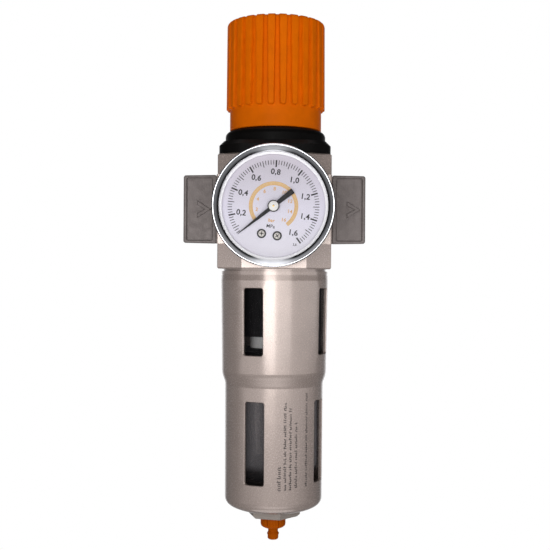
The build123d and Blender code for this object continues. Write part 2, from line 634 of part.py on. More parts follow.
with BuildPart() as drain_seal:
    turn((1.0, BOWL_FLOOR + 0.1), (4.2, BOWL_FLOOR + 0.1), (4.4, -133.7), (4.4, -133.1), (1.0, -133.1))
save(drain_seal, "drain_seal")

# ======================================================================== gauge
with BuildPart() as gauge_case:
    turn_y((6.2, CASE_BACK), (CASE_R - 1, CASE_BACK), (CASE_R, CASE_BACK - 1), (CASE_R, -53.4),
           (CASE_R - 0.6, -53.4), (CASE_R - 0.6, -49.0), (CASE_R - 1, -49.0),
           (CASE_R - 1, CASE_BACK - 1.2), (6.2, CASE_BACK - 1.2))
save(gauge_case, "gauge_case")

with BuildPart() as gauge_bezel:
    with BuildSketch(Plane.XY) as section:
        with BuildLine():
            Line((CASE_R, -50.4), (GAUGE_R - 0.3, -50.4))
            Line((GAUGE_R - 0.3, -50.4), (GAUGE_R, -51.0))
            Line((GAUGE_R, -51.0), (GAUGE_R, -54.6))
            ThreePointArc((GAUGE_R, -54.6), (GAUGE_R - 0.4, -55.6), (GAUGE_R - 1.4, GAUGE_FRONT))
            Polyline((GAUGE_R - 1.4, GAUGE_FRONT), (GAUGE_R - 1.9, -55.9), (24.6, WINDOW_FRONT - 0.6),
                     (24.6, WINDOW_FRONT), (CASE_R, WINDOW_FRONT), (CASE_R, -50.4))
        make_face()
    revolve(section.sketch, axis=Axis.Y)
save(gauge_bezel, "gauge_bezel")

with BuildPart() as gauge_window:
    rod_y(CASE_R - 0.6, WINDOW_FRONT, WINDOW_FRONT + WINDOW_T)
save(gauge_window, "gauge_window")

with BuildPart() as window_gasket:
    turn_y((23.3, WINDOW_FRONT + WINDOW_T), (CASE_R - 0.6, WINDOW_FRONT + WINDOW_T),
           (CASE_R - 0.6, DIAL_FRONT), (23.3, DIAL_FRONT))
save(window_gasket, "window_gasket")

DIAL_SCREWS = [clock(DIAL_TILT + side * DIAL_SCREW_HALF_ANGLE, DIAL_SCREW_R) for side in (-1, 1)]

with BuildPart() as gauge_dial:
    rod_y(CASE_R - 0.6, DIAL_FRONT, DIAL_FRONT + DIAL_T)
    rod_y(1.6, DIAL_FRONT, DIAL_FRONT + DIAL_T, mode=Mode.SUBTRACT)
    for place in DIAL_SCREWS:
        rod_y(1.1, DIAL_FRONT, DIAL_FRONT + DIAL_T, place, Mode.SUBTRACT)
save(gauge_dial, "gauge_dial")

with BuildPart() as dial_screws:
    for place in DIAL_SCREWS:
        rod_y(1.0, DIAL_FRONT, -45.2, place)
        rod_y(2.1, DIAL_FRONT - 0.7, DIAL_FRONT, place)
        with Locations((place[0], DIAL_FRONT - 0.7, place[1])):
            Box(2.8, 0.7, 0.4, mode=Mode.SUBTRACT)
save(dial_screws, "dial_screws")

FRONT_PLATE = (-47.2, -46.4)
BACK_PLATE = (-43.0, -42.2)
PIVOT = clock(DIAL_TILT, PIVOT_DROP)
with BuildPart() as movement_frame:
    tilted = Plane(origin=(0, 0, 0), x_dir=(math.cos(math.radians(DIAL_TILT)), 0,
                                            -math.sin(math.radians(DIAL_TILT))), z_dir=(0, -1, 0))
    for near, far in (FRONT_PLATE, BACK_PLATE):
        with BuildSketch(tilted.offset(-far)) as leaf:
            with Locations((0, -5.2)):
                RectangleRounded(15.0, 22.0, 2.0)
        extrude(leaf.sketch, amount=far - near)
        for place in ((0, 0), PIVOT):
            rod_y(0.8 + RUNNING, near, far, place, Mode.SUBTRACT)
    for place in DIAL_SCREWS:
        rod_y(2.0, DIAL_FRONT + DIAL_T, BACK_PLATE[0], place)
        rod_y(1.0, DIAL_FRONT + DIAL_T, -45.2, place, Mode.SUBTRACT)
    for place in (clock(DIAL_TILT + 128, 7.2), clock(DIAL_TILT - 128, 7.2)):
        rod_y(1.1, FRONT_PLATE[1], BACK_PLATE[0], place)
save(movement_frame, "movement_frame")

with BuildPart() as gauge_socket:
    rod_y(G14_R, -28.5, -17.5)
    with BuildSketch(Plane.XZ.offset(28.5)) as flats:
        RegularPolygon(8.5, 6, major_radius=False)
    extrude(flats.sketch, amount=2.0)
    rod_y(6.2, CASE_BACK - 1.2, CASE_BACK)
    with BuildSketch(Plane.XZ.offset(-CASE_BACK + 1.2)) as block:
        with Locations((0, -7.8)):
            RectangleRounded(11.0, 27.6, 1.5)
    extrude(block.sketch, amount=-BACK_PLATE[1] + CASE_BACK - 1.2)
    rod_y(1.5, -40.0, -17.5, mode=Mode.SUBTRACT)
save(gauge_socket, "gauge_socket")

with BuildPart() as gauge_seal:
    turn_y((G14_R, -HALF), (9.4, -HALF), (9.4, -28.5), (G14_R, -28.5))
save(gauge_seal, "gauge_seal")

BOURDON_R = 19.6
BOURDON_START = 13.0        # degrees clockwise from straight down, inside the socket's foot
with BuildPart() as bourdon_tube:
    root = math.radians(BOURDON_START)
    start = Plane(origin=(0, 0, 0), x_dir=(-math.sin(root), 0, -math.cos(root)),
                  z_dir=(math.cos(root), 0, -math.sin(root)))
    with BuildSketch(start) as section:
        with Locations((BOURDON_R, -36.0)):
            SlotOverall(6.0, 2.4, rotation=90)
            SlotOverall(5.0, 1.4, rotation=90, mode=Mode.SUBTRACT)
    revolve(section.sketch, axis=Axis.Y, revolution_arc=250.0)
save(bourdon_tube, "bourdon_tube")

PINION_TEETH = 10
SECTOR_TEETH = 60
SECTOR_LEAD = -23.0         # the sector stands this far to one side when the pointer is at rest
with BuildPart() as sector_gear:
    with BuildSketch(Plane.XZ.offset(45.3)) as leaf:
        with Locations(PIVOT):
            Circle(SECTOR_R)
        with BuildLine():
            heading = math.radians(90 - DIAL_TILT + SECTOR_LEAD)
            spread = math.radians(34)
            far = [
                (PIVOT[0] + 16 * math.cos(heading + turn_by), PIVOT[1] + 16 * math.sin(heading + turn_by))
                for turn_by in (-spread, 0, spread)
            ]
            Polyline(PIVOT, far[0], far[1], far[2], close=True)
        make_face(mode=Mode.INTERSECT)
        with Locations(PIVOT):
            Circle(1.8)
            Circle(0.8, mode=Mode.SUBTRACT)
            with PolarLocations(SECTOR_R, SECTOR_TEETH, start_angle=math.degrees(heading)):
                Circle(0.2, mode=Mode.SUBTRACT)
    extrude(leaf.sketch, amount=-1.0)
save(sector_gear, "sector_gear")

with BuildPart() as sector_arbor:
    rod_y(0.8, -46.9, -42.4, PIVOT)
save(sector_arbor, "sector_arbor")

with BuildPart() as pointer_arbor:
    rod_y(0.8, POINTER_Y - 0.5, -42.4)
    with BuildSketch(Plane.XZ.offset(45.6)) as pinion:
        Circle(PINION_R)
        with PolarLocations(PINION_R, PINION_TEETH):
            Circle(0.2, mode=Mode.SUBTRACT)
    extrude(pinion.sketch, amount=-1.6)
save(pointer_arbor, "pointer_arbor")

with BuildPart() as pointer:
    ahead = math.radians(-90 - POINTER_REST)
    along = Plane(origin=(0, 0, 0), x_dir=(math.cos(ahead), 0, math.sin(ahead)), z_dir=(0, -1, 0))
    with BuildSketch(along.offset(-POINTER_Y)) as blade:
        with BuildLine():
            Polyline((20.6, 0.12), (3.0, 1.05), (-3.0, 1.05), (-11.2, 1.6), (-11.2, -1.6), (-3.0, -1.05),
                     (3.0, -1.05), (20.6, -0.12), close=True)
        make_face()
        Circle(2.7)
    extrude(blade.sketch, amount=0.5)
    rod_y(0.8, POINTER_Y - 0.5, POINTER_Y, mode=Mode.SUBTRACT)
save(pointer, "pointer")

with BuildPart() as pointer_hub:
    rod_y(2.25, POINTER_Y - 0.8, POINTER_Y - 0.5)
save(pointer_hub, "pointer_hub")

# ======================================================================== rear gauge port
with BuildPart() as rear_plug:
    rod_y(G14_R, 18.5, HALF + 1.0)
    rod_y(9.0, HALF + 1.0, HALF + 3.6)
    with BuildSketch(Plane.XZ.offset(-HALF - 3.6)) as socket:
        RegularPolygon(3.0, 6, major_radius=False)
    extrude(socket.sketch, amount=6.0, mode=Mode.SUBTRACT)
save(rear_plug, "rear_plug")

with BuildPart() as rear_plug_seal:
    turn_y((G14_R, HALF), (8.8, HALF), (8.8, HALF + 1.0), (G14_R, HALF + 1.0))
save(rear_plug_seal, "rear_plug_seal")
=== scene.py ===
"""Looks of the air filter-regulator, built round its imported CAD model.

Everything is in the CAD's frame: +X along the flow, -Y the front with the gauge, +Z up the knob.
Lengths below are in millimetres and turned into metres when a mesh is made.
"""
import bmesh
import bpy
import math
import random
from mathutils import Euler, Matrix, Vector


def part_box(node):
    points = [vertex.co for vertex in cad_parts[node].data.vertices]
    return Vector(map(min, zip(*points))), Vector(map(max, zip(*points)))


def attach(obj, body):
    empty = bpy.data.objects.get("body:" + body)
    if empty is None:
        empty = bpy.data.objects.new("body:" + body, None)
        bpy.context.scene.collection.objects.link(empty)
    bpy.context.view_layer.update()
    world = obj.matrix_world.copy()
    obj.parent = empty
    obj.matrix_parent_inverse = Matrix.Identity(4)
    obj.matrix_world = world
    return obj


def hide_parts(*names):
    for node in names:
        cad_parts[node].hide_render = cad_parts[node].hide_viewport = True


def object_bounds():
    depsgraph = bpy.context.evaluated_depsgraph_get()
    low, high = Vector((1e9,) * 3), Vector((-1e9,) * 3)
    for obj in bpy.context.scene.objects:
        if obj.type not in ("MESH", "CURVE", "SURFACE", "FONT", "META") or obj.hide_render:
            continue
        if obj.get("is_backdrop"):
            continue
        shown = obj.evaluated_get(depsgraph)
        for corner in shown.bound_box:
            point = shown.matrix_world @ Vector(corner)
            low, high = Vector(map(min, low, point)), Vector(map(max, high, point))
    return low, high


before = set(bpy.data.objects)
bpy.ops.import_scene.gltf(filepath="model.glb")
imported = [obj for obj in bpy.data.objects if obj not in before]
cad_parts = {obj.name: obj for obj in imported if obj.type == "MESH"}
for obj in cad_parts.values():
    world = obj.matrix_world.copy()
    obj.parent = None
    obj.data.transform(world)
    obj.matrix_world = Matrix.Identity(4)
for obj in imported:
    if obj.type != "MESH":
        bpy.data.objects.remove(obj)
cad_low, cad_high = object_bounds()
MM = 0.001
scene = bpy.context.scene


def edges_of(node):
    """A CAD node's lowest and highest corner, in millimetres."""
    low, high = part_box(node)
    return low / MM, high / MM


# ============================================================================ mesh helpers
def mesh_piece(name, points, faces, sharp=32):
    """A closed mesh from points in millimetres, smooth except across edges over `sharp` degrees."""
    mesh = bpy.data.meshes.new(name)
    mesh.from_pydata([Vector(p) * MM for p in points], [], faces)
    work = bmesh.new()
    work.from_mesh(mesh)
    bmesh.ops.recalc_face_normals(work, faces=work.faces)
    work.to_mesh(mesh)
    work.free()
    mesh.shade_smooth()
    mesh.set_sharp_from_angle(angle=math.radians(sharp))
    piece = bpy.data.objects.new(name, mesh)
    scene.collection.objects.link(piece)
    return piece


def arc(centre, radius, start, end, steps):
    """Points of an arc in the (radius, height) half plane; degrees from the radius axis."""
    turned = [math.radians(start + (end - start) * i / steps) for i in range(steps + 1)]
    return [(centre[0] + radius * math.cos(a), centre[1] + radius * math.sin(a)) for a in turned]


def revolved(outline, steps, along="Z"):
    """Points and faces of a closed (radius, height) outline turned about Z or Y; 0 is a pole."""
    points, faces, rings = [], [], []
    for radius, height in outline:
        ring = []
        for i in range(steps if radius > 0 else 1):
            a = 2 * math.pi * i / steps
            flat = (radius * math.cos(a), radius * math.sin(a))
            ring.append(len(points))
            points.append((*flat, height) if along == "Z" else (flat[0], height, flat[1]))
        rings.append(ring)
    for ring, following in zip(rings, rings[1:] + rings[:1]):
        for i in range(steps):
            j = (i + 1) % steps
            if len(ring) > 1 and len(following) > 1:
                faces.append((ring[i], ring[j], following[j], following[i]))
            elif len(ring) > 1:
                faces.append((ring[i], ring[j], following[0]))
            elif len(following) > 1:
                faces.append((ring[0], following[j], following[i]))
    return points, faces


def lathe(name, outline, steps=192, along="Z", sharp=32):
    """A turned piece from its closed (radius, height) outline."""
    return mesh_piece(name, *revolved(outline, steps, along), sharp=sharp)


def wrapped_faces(rows, steps):
    """Faces over rows of `steps` points each, with the last row and column joined to the first."""
    faces = []
    for k in range(rows):
        here, there = k * steps, (k + 1) % rows * steps
        for i in range(steps):
            j = (i + 1) % steps
            faces.append((here + i, here + j, there + j, there + i))
    return faces


def add_prism(points, faces, outline, back, front):
    """Adds a closed prism on the dial: an outline of (x, z) points between two y values."""
    first, count = len(points), len(outline)
    points.extend((x, back, z) for x, z in outline)
    points.extend((x, front, z) for x, z in outline)
    faces.append(tuple(range(first, first + count)))
    faces.append(tuple(range(first + count, first + 2 * count)))
    for i in range(count):
        j = (i + 1) % count
        faces.append((first + i, first + j, first + count + j, first + count + i))


def clock(angle, radius):
    """The (x, z) place on the dial at an angle clockwise from straight down."""
    return (-radius * math.sin(math.radians(angle)), -radius * math.cos(math.radians(angle)))


def pointing(angle, outline):
    """Turns (distance, offset) points to an angle on the dial, as (x, z) points."""
    ahead = clock(angle, 1)
    aside = (ahead[1], -ahead[0])
    return [(ahead[0] * r + aside[0] * w, ahead[1] * r + aside[1] * w) for r, w in outline]


def dress(piece, body, material, slot, *replaced):
    """Gives a new piece its body and material, and hides the CAD nodes it stands for. The slot is
    not used.
    """
    piece.data.materials.clear()
    piece.data.materials.append(material)
    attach(piece, body)
    if replaced:
        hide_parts(*replaced)
    return piece


# ============================================================================ materials
class Shade:
    """A node material with one Principled shader and helpers for noise, colour and bump."""

    def __init__(self, name, **values):
        self.material = bpy.data.materials.new(name)
        self.material.use_nodes = True
        self.nodes = self.material.node_tree.nodes
        self.links = self.material.node_tree.links
        self.shader = self.nodes["Principled BSDF"]
        self.place = self.nodes.new("ShaderNodeTexCoord")
        for socket, value in values.items():
            self.shader.inputs[socket.replace("_", " ")].default_value = value

    def height(self):
        """Height in the object, in metres."""
        axes = self.nodes.new("ShaderNodeSeparateXYZ")
        self.links.new(self.place.outputs["Object"], axes.inputs["Vector"])
        return axes.outputs["Z"]

    def maths(self, operation, first, second):
        """One maths step on two factors."""
        node = self.nodes.new("ShaderNodeMath")
        node.operation = operation
        self.links.new(first, node.inputs[0])
        self.links.new(second, node.inputs[1])
        return node.outputs[0]

    def stretched(self, scale):
        """Object coordinates scaled by a different factor along each axis."""
        mapping = self.nodes.new("ShaderNodeMapping")
        mapping.inputs["Scale"].default_value = scale
        self.links.new(self.place.outputs["Object"], mapping.inputs["Vector"])
        return mapping.outputs["Vector"]

    def noise(self, size, detail=3.0, roughness=0.55, vector=None):
        """Noise whose lumps are about `size` millimetres across."""
        texture = self.nodes.new("ShaderNodeTexNoise")
        texture.inputs["Scale"].default_value = 1 / (size * MM)
        texture.inputs["Detail"].default_value = detail
        texture.inputs["Roughness"].default_value = roughness
        self.links.new(vector or self.place.outputs["Object"], texture.inputs["Vector"])
        return texture.outputs["Fac"]

    def between(self, factor, low, high, spread=(0.35, 0.65)):
        """Maps a factor onto a range of numbers."""
        ranged = self.nodes.new("ShaderNodeMapRange")
        ranged.inputs["From Min"].default_value = spread[0]
        ranged.inputs["From Max"].default_value = spread[1]
        ranged.inputs["To Min"].default_value = low
        ranged.inputs["To Max"].default_value = high
        self.links.new(factor, ranged.inputs["Value"])
        return ranged.outputs["Result"]

    def colours(self, factor, *stops):
        """A colour ramp: stops are (position, colour)."""
        ramp = self.nodes.new("ShaderNodeValToRGB")
        elements = ramp.color_ramp.elements
        while len(elements) < len(stops):
            elements.new(0.5)
        for element, (position, colour) in zip(elements, stops):
            element.position = position
            element.color = (*colour, 1)
        self.links.new(factor, ramp.inputs["Fac"])
        self.links.new(ramp.outputs["Color"], self.shader.inputs["Base Color"])

    def tinted(self, factor, base, amount):
        """A colour that goes a little darker and lighter with a factor."""
        darker = tuple(c * (1 - amount) for c in base)
        lighter = tuple(min(1, c * (1 + amount)) for c in base)
        self.colours(factor, (0.3, darker), (0.7, lighter))

    def rough(self, factor, low, high, spread=(0.35, 0.65)):
        """Roughness that follows a factor."""
        self.links.new(self.between(factor, low, high, spread), self.shader.inputs["Roughness"])

    def bump(self, height, depth, strength=1.0, after=None):
        """Bump of about `depth` millimetres, chained after an earlier normal."""
        node = self.nodes.new("ShaderNodeBump")
        node.inputs["Strength"].default_value = strength
        node.inputs["Distance"].default_value = depth * MM
        self.links.new(height, node.inputs["Height"])
        if after is not None:
            self.links.new(after, node.inputs["Normal"])
        self.links.new(node.outputs["Normal"], self.shader.inputs["Normal"])
        return node.outputs["Normal"]


def body_paint():
    """Satin silver-beige metallic lacquer with a fine flake and faint orange peel."""
    shade = Shade("body_lacquer", Metallic=0.4, Coat_Weight=0.45, Coat_Roughness=0.1)
    shade.tinted(shade.noise(9.0), (0.40, 0.325, 0.29), 0.04)
    shade.rough(shade.noise(0.5), 0.22, 0.29)
    peel = shade.bump(shade.noise(1.6, 2.0), 0.004, 0.3)
    shade.bump(shade.noise(0.25, 1.0), 0.0006, 0.3, peel)
    return shade.material


def plate_metal():
    """Dull grey die-cast metal with a fine cast grain."""
    shade = Shade("cast_metal", Metallic=0.4, Specular_IOR_Level=0.3)
    grain = shade.noise(0.45, 4.0, 0.6)
    shade.colours(grain, (0.25, (0.145, 0.122, 0.114)), (0.5, (0.165, 0.142, 0.135)),
                  (0.78, (0.19, 0.167, 0.162)))
    shade.rough(shade.noise(3.0), 0.46, 0.56)
    skin = shade.bump(grain, 0.02, 0.5)
    shade.bump(shade.noise(0.2, 2.0), 0.008, 0.5, skin)
    return shade.material


def moulded_plastic(name, colour, roughness, gloss=0.5, grain=0.35):
    """Injection-moulded plastic with a fine texture; gloss is its specular level."""
    shade = Shade(name, Specular_IOR_Level=gloss)
    shade.tinted(shade.noise(6.0), colour, 0.06)
    shade.rough(shade.noise(1.2), roughness - 0.05, roughness + 0.05)
    shade.bump(shade.noise(grain, 2.0), 0.006, 0.5)
    return shade.material


def plated(name, colour, roughness, brushed=None):
    """Polished or turned metal; brushed is the turning marks' scale along each axis."""
    shade = Shade(name, Metallic=1.0)
    marks = shade.noise(0.6, 2.0, vector=shade.stretched(brushed) if brushed else None)
    shade.tinted(marks, colour, 0.03)
    shade.rough(marks, roughness - 0.03, roughness + 0.03)
    shade.bump(marks, 0.004, 0.4)
    return shade.material


def mirror_chrome():
    """Polished chrome plating with a barely uneven surface."""
    shade = Shade("polished_chrome", Metallic=1.0, Roughness=0.0)
    waves = shade.noise(2.5, 1.0)
    shade.colours(waves, (0.3, (0.78, 0.79, 0.83)), (0.7, (0.83, 0.84, 0.87)))
    shade.bump(waves, 0.012, 0.5)
    return shade.material


def rubber():
    """Black nitrile rubber with a soft bloom."""
    shade = Shade("nitrile_rubber")
    shade.colours(shade.noise(3.0),
                  (0.3, (0.012, 0.012, 0.013)), (0.7, (0.022, 0.021, 0.021)))
    shade.rough(shade.noise(0.8), 0.5, 0.65)
    shade.bump(shade.noise(0.3), 0.008, 0.5)
    return shade.material


CLEAR = (0.035, 0.034, 0.038)
MISTED = (0.21, 0.205, 0.22)
BOWL_LEVELS = (-0.140, -0.075)      # heights, in metres, that the misted band lies between


def clear_bowl():
    """Clear polycarbonate: see-through face on, milky at a grazing angle, with a misted band."""
    shade = Shade("clear_polycarbonate", IOR=1.58, Specular_IOR_Level=0.15)
    shade.rough(shade.noise(4.0), 0.15, 0.2)
    shade.bump(shade.noise(7.0, 1.0), 0.05, 0.3)
    level = shade.between(shade.height(), 0.0, 1.0, BOWL_LEVELS)
    shade.colours(level, (0.20, CLEAR), (0.25, MISTED), (0.70, MISTED), (0.90, CLEAR))
    tilt = shade.nodes.new("ShaderNodeLayerWeight")
    tilt.inputs["Blend"].default_value = 0.5
    rim = shade.between(tilt.outputs["Facing"], 0.08, 0.9, (0.45, 0.95))
    mist = shade.between(level, 0.16, 0.08, (0.70, 0.90))
    shade.links.new(shade.maths("MAXIMUM", rim, mist), shade.shader.inputs["Alpha"])
    return shade.material


def window_glass():
    """The gauge's clear window: a thin, almost glare-free sheet."""
    shade = Shade("gauge_window_clear", IOR=1.5, Alpha=0.05, Specular_IOR_Level=0.0,
                  Base_Color=(0.06, 0.06, 0.065, 1))
    shade.rough(shade.noise(5.0), 0.1, 0.14)
    return shade.material


def sintered():
    """White porous filter element: packed grains."""
    shade = Shade("sintered_filter")
    cells = shade.nodes.new("ShaderNodeTexVoronoi")
    cells.inputs["Scale"].default_value = 1 / (0.5 * MM)
    shade.links.new(shade.place.outputs["Object"], cells.inputs["Vector"])
    shade.colours(cells.outputs["Distance"],
                  (0.0, (0.95, 0.94, 0.93)), (0.8, (0.80, 0.79, 0.78)))
    shade.rough(shade.noise(1.0), 0.75, 0.9)
    shade.bump(cells.outputs["Distance"], 0.06, 0.5)
    return shade.material


def printed(name, colour, roughness=0.45, gloss=0.5):
    """Printing ink or dial enamel, with a faint unevenness; gloss is its specular level."""
    shade = Shade(name, Specular_IOR_Level=gloss)
    shade.tinted(shade.noise(1.5), colour, 0.03)
    shade.rough(shade.noise(0.6), roughness - 0.04, roughness + 0.04)
    shade.bump(shade.noise(0.3), 0.002, 0.3)
    return shade.material


# painted shade: the dial is darkened towards the top, as if the bezel shadowed it
DIAL_SHADE_LEVELS = (-0.022, 0.020)       # heights, in metres, over which the dial darkens


def dial_enamel_with_painted_shade():
    """White dial enamel, with painted shade that darkens it towards the top."""
    shade = Shade("dial_enamel_with_painted_shade")
    grain = shade.between(shade.noise(1.5), -0.0008, 0.0008)
    height = shade.maths("ADD", shade.height(), grain)
    # the grey stop at the top is painted shade, not the enamel's own colour
    shade.colours(shade.between(height, 0.0, 1.0, DIAL_SHADE_LEVELS),
                  (0.0, (0.95, 0.92, 1.0)), (0.45, (0.90, 0.865, 0.985)), (1.0, (0.68, 0.63, 0.70)))
    shade.rough(shade.noise(0.6), 0.46, 0.54)
    shade.bump(shade.noise(0.3), 0.002, 0.3)
    return shade.material


ORANGE = (0.75, 0.140, 0.0003)
NYLON_BLACK = (0.0035, 0.003, 0.0028)
# one material for each material slot of the CAD
FINISH = {
    "body_paint": body_paint(),
    "plate_metal": plate_metal(),
    "black_plastic": moulded_plastic("black_nylon", NYLON_BLACK, 0.4, gloss=0.06, grain=0.3),
    "orange_plastic": moulded_plastic("orange_acetal", ORANGE, 0.4, gloss=0.03),
    "chrome": mirror_chrome(),
    "window_glass": window_glass(),
    "clear_plastic": clear_bowl(),
    "dial_paint": dial_enamel_with_painted_shade(),
    "case_black": moulded_plastic("case_lacquer", (0.012, 0.012, 0.013), 0.35, gloss=0.3),
    "pointer_black": printed("pointer_lacquer", (0.012, 0.011, 0.013), 0.45, gloss=0.25),
    "hub_white": printed("hub_enamel", (0.80, 0.76, 0.70), 0.4),
    "brass": plated("turned_brass", (0.62, 0.44, 0.18), 0.22, brushed=(1, 1, 12)),
    "steel": plated("bright_steel", (0.56, 0.56, 0.57), 0.2, brushed=(1, 1, 10)),
    "dark_steel": plated("black_oxide_steel", (0.06, 0.06, 0.065), 0.36),
    "aluminium": plated("turned_aluminium", (0.70, 0.70, 0.71), 0.3, brushed=(1, 1, 14)),
    "rubber": rubber(),
    "gasket_white": printed("gasket_silicone", (0.93, 0.91, 0.96), 0.2, gloss=1.0),
    "filter_white": sintered(),
    "nut_grey": moulded_plastic("drain_nut_grey", (0.25, 0.215, 0.188), 0.45),
}
# and those that only the new pieces wear
DIAL_BLACK = printed("dial_ink_black", (0.016, 0.013, 0.016), 0.5)
DIAL_ORANGE = printed("dial_ink_orange", (0.82, 0.44, 0.12), 0.5)
DIAL_PALE_ORANGE = printed("dial_ink_pale_orange", (0.86, 0.60, 0.30), 0.5)
DRAIN_ORANGE = moulded_plastic("drain_acetal", (0.37, 0.069, 0.0004), 0.4, gloss=0.02)
PRINT_GREY = printed("guard_ink", (0.02, 0.014, 0.012), 0.5)
HUB_ENAMEL = printed("hub_gloss_enamel", (0.95, 0.94, 0.90), 0.35)

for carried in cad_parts.values():
    for holder in carried.material_slots:
        holder.material = FINISH[holder.material.name]


# ============================================================================ knob
RIBS = 26
RIB_COLUMNS = 28
RIB_CENTRE = -94.6          # direction of one rib, degrees about +Z
SKIRT_R = 22.85             # between the ribs
RIB_HEIGHT = (1.78, 1.55)   # at the ribs' bottom and top
LAND_W = (2.3, 3.3)         # width of a rib's flat land at its bottom and top
FLANK_W = 0.55              # width of a rib's rounded flank
RIB_CORNER = 1.25           # radius of the corners at a rib's foot
RIB_FOOT = 50.6             # height at which the ribs start
KNOB_FILLET = 2.0
CROWN = 0.9                 # how far the top domes
CAP_WELL_R = 10.5


def rib_height(offset, z, climb):
    """Height of the ribbing at a distance from a rib's centre line and at a height on the knob.

    climb goes from 0 at the foot of the ribs to 1 at their top.
    """
    land = LAND_W[0] + (LAND_W[1] - LAND_W[0]) * climb
    tall = RIB_HEIGHT[0] + (RIB_HEIGHT[1] - RIB_HEIGHT[0]) * climb
    half = land / 2 + FLANK_W
    corner = min(half, RIB_CORNER)
    across, below = abs(offset) - (half - corner), RIB_FOOT + corner - z
    outside = math.hypot(max(across, 0), max(below, 0)) + min(max(across, below), 0) - corner
    share = min(max(-outside / FLANK_W, 0), 1)
    return tall * share * share * (3 - 2 * share)


def knob_shell():
    """The ribbed knob: ribbing, domed top and the bore under it, as one closed mesh."""
    low, high = edges_of("knob")
    base, top = low.z, high.z
    edge_top = top - CROWN
    fillet_z = edge_top - KNOB_FILLET
    rows = [base + 0.35, base + 0.8, base + 4, base + 8.2]
    rows += [RIB_FOOT - 0.8 + 0.25 * i for i in range(18)]
    rows += [RIB_FOOT + 4 + (fillet_z - RIB_FOOT - 4) * i / 14 for i in range(15)]
    bends = [math.radians(90 * i / 8) for i in range(1, 9)]
    steps = RIBS * RIB_COLUMNS
    points = []

    def ring(radii, z):
        for i, radius in enumerate(radii):
            a = math.radians(RIB_CENTRE) + 2 * math.pi * i / steps
            points.append((radius * math.cos(a), radius * math.sin(a), z))

    def ribbed(z, inset=0.0):
        climb = min(max((z - RIB_FOOT) / (fillet_z - RIB_FOOT), 0), 1)
        radii = []
        for i in range(steps):
            turned = (i + RIB_COLUMNS / 2) % RIB_COLUMNS - RIB_COLUMNS / 2
            offset = turned / RIB_COLUMNS * 2 * math.pi * (SKIRT_R + 1) / RIBS
            radii.append(SKIRT_R + rib_height(offset, z, climb) - inset)
        return radii

    ring([SKIRT_R - 0.35] * steps, base)
    for z in rows:
        ring(ribbed(z), z)
    for bend in bends:
        inset = KNOB_FILLET * (1 - math.cos(bend))
        ring(ribbed(fillet_z, inset), fillet_z + KNOB_FILLET * math.sin(bend))
    # the dome and the well of the cap, then the web and the bore inside
    edge_r = SKIRT_R - KNOB_FILLET
    for share in (0.12, 0.35, 0.6, 0.8, 1.0):
        radius = edge_r + (CAP_WELL_R + 0.2 - edge_r) * share
        rise = CROWN * (1 - (radius / edge_r) ** 2)
        ring([radius] * steps, edge_top + rise)
    bored = [(CAP_WELL_R, edge_top + CROWN * 0.7), (CAP_WELL_R, top - 2), (9, top - 2), (9, 82.8),
             (5.7, 82.8), (5.7, 78.5), (20, 78.5), (20, base + 0.3), (20.3, base)]
    for radius, z in bored:
        ring([radius] * steps, z)
    return mesh_piece("knob_ribbed", points, wrapped_faces(len(points) // steps, steps), sharp=50)


dress(knob_shell(), "knob", FINISH["orange_plastic"], "orange_plastic", "knob")

# ============================================================================ gauge
bezel_low, bezel_high = edges_of("gauge_bezel")
BEZEL_R = bezel_high.x
BEZEL_FRONT, BEZEL_BACK = bezel_low.y, bezel_high.y
WINDOW_FRONT = edges_of("gauge_window")[0].y
DIAL_FRONT = edges_of("gauge_dial")[0].y
OPENING_R = 24.65
CASE_R = 26.0
BEZEL_ROLL = 0.6            # radius of the bezel's round front edge
# radius and depth behind the front along the slope inside that edge
BEZEL_SLOPE = ((26.5, 0.30), (26.1, 0.50), (25.7, 0.72), (25.3, 0.97), (24.97, 1.22),
               (OPENING_R, 1.52))


def bezel():
    """The chromed bezel: a round rolled edge, then a slightly hollow slope down to the window."""
    outline = [(CASE_R, BEZEL_BACK), (BEZEL_R - 0.35, BEZEL_BACK)]
    outline += arc((BEZEL_R - 0.4, BEZEL_BACK - 0.4), 0.4, 80, 0, 5)
    outline += arc((BEZEL_R - BEZEL_ROLL, BEZEL_FRONT + BEZEL_ROLL), BEZEL_ROLL, 0, -120, 18)
    outline += [(radius, BEZEL_FRONT + depth) for radius, depth in BEZEL_SLOPE]
    outline += [(OPENING_R, WINDOW_FRONT), (CASE_R, WINDOW_FRONT)]
    return lathe("bezel_ring", outline, 256, "Y", sharp=38)


PANE_R = 25.35
PANE_BACK = edges_of("gauge_window")[1].y
SEAL_R = 23.3
SEAL_EDGE = 0.3             # radius of the seal's round inner edge


def window_pane():
    """The clear window, with a little air between it and the seal behind."""
    front, back = WINDOW_FRONT + 0.02, PANE_BACK - 0.1
    outline = [(0, front), (PANE_R - 0.2, front), (PANE_R, WINDOW_FRONT + 0.2),
               (PANE_R, PANE_BACK - 0.25), (PANE_R - 0.2, back), (0, back)]
    return lathe("window_pane", outline, 192, "Y")


def window_seal():
    """The pale ring between the window and the dial."""
    outline = [(PANE_R, DIAL_FRONT - 0.01), (SEAL_R + 0.1, DIAL_FRONT - 0.01)]
    outline += arc((SEAL_R + SEAL_EDGE, PANE_BACK + 0.35), SEAL_EDGE, 180, 270, 6)
    outline += [(PANE_R, PANE_BACK + 0.05)]
    return lathe("window_seal", outline, 192, "Y")


dress(bezel(), "housing", FINISH["chrome"], "chrome", "gauge_bezel")
dress(window_pane(), "housing", FINISH["window_glass"], "window_glass", "gauge_window")
dress(window_seal(), "housing", FINISH["gasket_white"], "gasket_white", "window_gasket")

